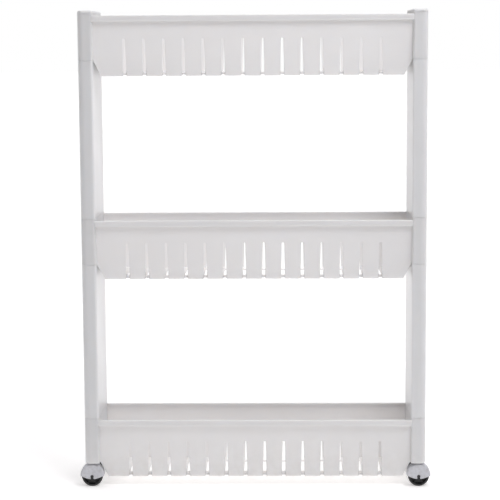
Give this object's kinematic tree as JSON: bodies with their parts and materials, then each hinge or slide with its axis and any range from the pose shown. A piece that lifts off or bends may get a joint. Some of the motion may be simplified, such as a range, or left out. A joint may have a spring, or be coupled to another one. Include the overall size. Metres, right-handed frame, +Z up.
{
  "type": "rolling pantry cart",
  "caption": "Slim rolling pantry cart: slotted plastic trays between hollow end uprights, on small fixed casters that let it slide in and out of a narrow gap.",
  "frame": {"origin": "on the floor, under the middle of the cart", "axes": "+X along the cart, the way it rolls; +Y across its depth, away from the front face; +Z up"},
  "size_m": [0.533, 0.12, 0.72],
  "materials": {
    "tray_plastic": "white moulded polypropylene, satin gloss",
    "upright_plastic": "white moulded polypropylene, satin gloss",
    "caster_plastic": "light grey moulded plastic",
    "axle_plastic": "black moulded plastic",
    "wheel_plastic": "black moulded plastic, slightly scuffed"
  },
  "bodies": {
    "frame": {"bottom_tray": "tray_plastic", "middle_tray": "tray_plastic", "top_tray": "tray_plastic", "lower_left_upright": "upright_plastic", "lower_right_upright": "upright_plastic", "upper_left_upright": "upright_plastic", "upper_right_upright": "upright_plastic", "left_end_cap": "upright_plastic", "right_end_cap": "upright_plastic", "front_left_caster_housing": "caster_plastic", "front_right_caster_housing": "caster_plastic", "back_left_caster_housing": "caster_plastic", "back_right_caster_housing": "caster_plastic"},
    "front_left_roller": {"front_left_wheel": "wheel_plastic", "front_left_axle": "axle_plastic"},
    "front_right_roller": {"front_right_wheel": "wheel_plastic", "front_right_axle": "axle_plastic"},
    "back_left_roller": {"back_left_wheel": "wheel_plastic", "back_left_axle": "axle_plastic"},
    "back_right_roller": {"back_right_wheel": "wheel_plastic", "back_right_axle": "axle_plastic"}
  },
  "joints": [
    {"name": "front_left_wheel_spin", "type": "hinge", "parent": "frame", "child": "front_left_roller", "pos_m": [-0.2485, -0.048, 0.016], "axis": [0, 1, 0], "continuous": true},
    {"name": "front_right_wheel_spin", "type": "hinge", "parent": "frame", "child": "front_right_roller", "pos_m": [0.2485, -0.048, 0.016], "axis": [0, 1, 0], "continuous": true},
    {"name": "back_left_wheel_spin", "type": "hinge", "parent": "frame", "child": "back_left_roller", "pos_m": [-0.2485, 0.048, 0.016], "axis": [0, 1, 0], "continuous": true},
    {"name": "back_right_wheel_spin", "type": "hinge", "parent": "frame", "child": "back_right_roller", "pos_m": [0.2485, 0.048, 0.016], "axis": [0, 1, 0], "continuous": true}
  ]
}
